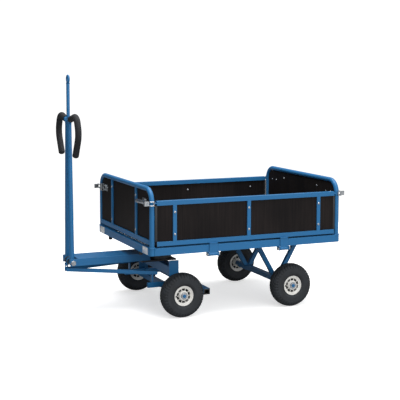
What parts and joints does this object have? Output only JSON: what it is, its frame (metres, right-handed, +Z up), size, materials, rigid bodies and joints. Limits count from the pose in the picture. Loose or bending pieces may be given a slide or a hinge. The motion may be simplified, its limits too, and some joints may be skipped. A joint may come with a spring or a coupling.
{
  "type": "hand cart",
  "caption": "Flat-bed hand cart with coated board walls, fold-down sides, turntable steering, pneumatic wheels and an upright drawbar with hooked grips and a towing eye.",
  "frame": {"origin": "middle of the whole cart's footprint, at the ground", "axes": "+X along the bed from the drawbar end to the other end, +Y across the cart to the left of +X, +Z up"},
  "size_m": [1.6196, 0.952, 1.395],
  "materials": {
    "blue_paint": "satin powder coat",
    "coated_board": "phenolic film-faced birch plywood, dark brown, satin",
    "zinc": "bright zinc plating",
    "black_steel": "black e-coat",
    "tyre": "matt black rubber",
    "rim_paint": "off-white enamel",
    "grip_foam": "closed-cell foam, matt",
    "black_plastic": "moulded, matt",
    "pale_plastic": "moulded, clear face"
  },
  "bodies": {
    "bed": {"side_rail_near": "blue_paint", "side_rail_far": "blue_paint", "end_rail_front": "blue_paint", "end_rail_rear": "blue_paint", "cross_members": "blue_paint", "deck_board": "coated_board", "turntable_upper": "black_steel", "kingpin": "zinc", "rear_axle": "blue_paint", "rear_axle_caps": "zinc", "rear_struts": "blue_paint", "hinge_pins": "zinc", "reflector_plates": "pale_plastic", "steering_buffers": "black_plastic", "end_frame_front": "blue_paint", "end_frame_rear": "blue_paint", "end_panels": "coated_board", "end_wall_bolts": "zinc", "latch_bases": "zinc"},
    "steering": {"turntable_lower": "black_steel", "bolster": "blue_paint", "front_axle": "blue_paint", "front_axle_caps": "zinc", "steering_arm": "blue_paint", "pivot_bolt": "zinc", "brake_guides": "blue_paint", "return_springs": "black_steel"},
    "drawbar": {"drawbar_foot": "blue_paint", "drawbar_legs": "blue_paint", "tow_eye": "blue_paint", "grips": "grip_foam"},
    "brake": {"brake_yoke": "blue_paint", "brake_side_bars": "blue_paint", "brake_bar": "blue_paint", "brake_bar_caps": "black_plastic"},
    "wall_near": {"side_frame_near": "blue_paint", "side_panel_near": "coated_board", "side_bolts_near": "zinc", "hinge_straps_near": "blue_paint"},
    "wall_far": {"side_frame_far": "blue_paint", "side_panel_far": "coated_board", "side_bolts_far": "zinc", "hinge_straps_far": "blue_paint"},
    "hasp_front_near": {"hasp_front_near": "zinc"},
    "wheel_front_near": {"tyre_front_near": "tyre", "rim_front_near": "rim_paint", "hub_bearings_front_near": "zinc"},
    "hasp_front_far": {"hasp_front_far": "zinc"},
    "wheel_front_far": {"tyre_front_far": "tyre", "rim_front_far": "rim_paint", "hub_bearings_front_far": "zinc"},
    "hasp_rear_near": {"hasp_rear_near": "zinc"},
    "wheel_rear_near": {"tyre_rear_near": "tyre", "rim_rear_near": "rim_paint", "hub_bearings_rear_near": "zinc"},
    "hasp_rear_far": {"hasp_rear_far": "zinc"},
    "wheel_rear_far": {"tyre_rear_far": "tyre", "rim_rear_far": "rim_paint", "hub_bearings_rear_far": "zinc"}
  },
  "joints": [
    {"name": "steer", "type": "hinge", "parent": "bed", "child": "steering", "pos_m": [-0.2232, 0, 0.312], "axis": [0, 0, 1], "range_deg": [-45, 45]},
    {"name": "drawbar_pivot", "type": "hinge", "parent": "steering", "child": "drawbar", "pos_m": [-0.7802, 0, 0.303], "axis": [0, -1, 0], "range_deg": [0, 95], "stiffness_Nm_per_rad": 22, "springref_deg": -17.19},
    {"name": "brake_slide", "type": "slide", "parent": "steering", "child": "brake", "axis": [1, 0, 0], "range_m": [0, 0.0414]},
    {"name": "wall_near_fold", "type": "hinge", "parent": "bed", "child": "wall_near", "pos_m": [0.1648, -0.466, 0.372], "axis": [1, 0, 0], "range_deg": [0, 180]},
    {"name": "wall_far_fold", "type": "hinge", "parent": "bed", "child": "wall_far", "pos_m": [0.1648, 0.466, 0.372], "axis": [-1, 0, 0], "range_deg": [0, 180]},
    {"name": "hasp_front_near_swing", "type": "hinge", "parent": "bed", "child": "hasp_front_near", "pos_m": [-0.4542, -0.398, 0.682], "axis": [0, 0, -1], "range_deg": [0, 110]},
    {"name": "hasp_front_far_swing", "type": "hinge", "parent": "bed", "child": "hasp_front_far", "pos_m": [-0.4542, 0.398, 0.682], "axis": [0, 0, 1], "range_deg": [0, 110]},
    {"name": "hasp_rear_near_swing", "type": "hinge", "parent": "bed", "child": "hasp_rear_near", "pos_m": [0.7838, -0.398, 0.682], "axis": [0, 0, 1], "range_deg": [0, 110]},
    {"name": "hasp_rear_far_swing", "type": "hinge", "parent": "bed", "child": "hasp_rear_far", "pos_m": [0.7838, 0.398, 0.682], "axis": [0, 0, -1], "range_deg": [0, 110]},
    {"name": "wheel_front_near_spin", "type": "hinge", "parent": "steering", "child": "wheel_front_near", "pos_m": [-0.2232, -0.379, 0.13], "axis": [0, 1, 0], "continuous": true},
    {"name": "wheel_front_far_spin", "type": "hinge", "parent": "steering", "child": "wheel_front_far", "pos_m": [-0.2232, 0.379, 0.13], "axis": [0, 1, 0], "continuous": true},
    {"name": "wheel_rear_near_spin", "type": "hinge", "parent": "bed", "child": "wheel_rear_near", "pos_m": [0.4868, -0.379, 0.13], "axis": [0, 1, 0], "continuous": true},
    {"name": "wheel_rear_far_spin", "type": "hinge", "parent": "bed", "child": "wheel_rear_far", "pos_m": [0.4868, 0.379, 0.13], "axis": [0, 1, 0], "continuous": true}
  ],
  "couplings": [
    {"joint": "brake_slide", "follows": "drawbar_pivot", "m_per_rad": 0.0249}
  ]
}
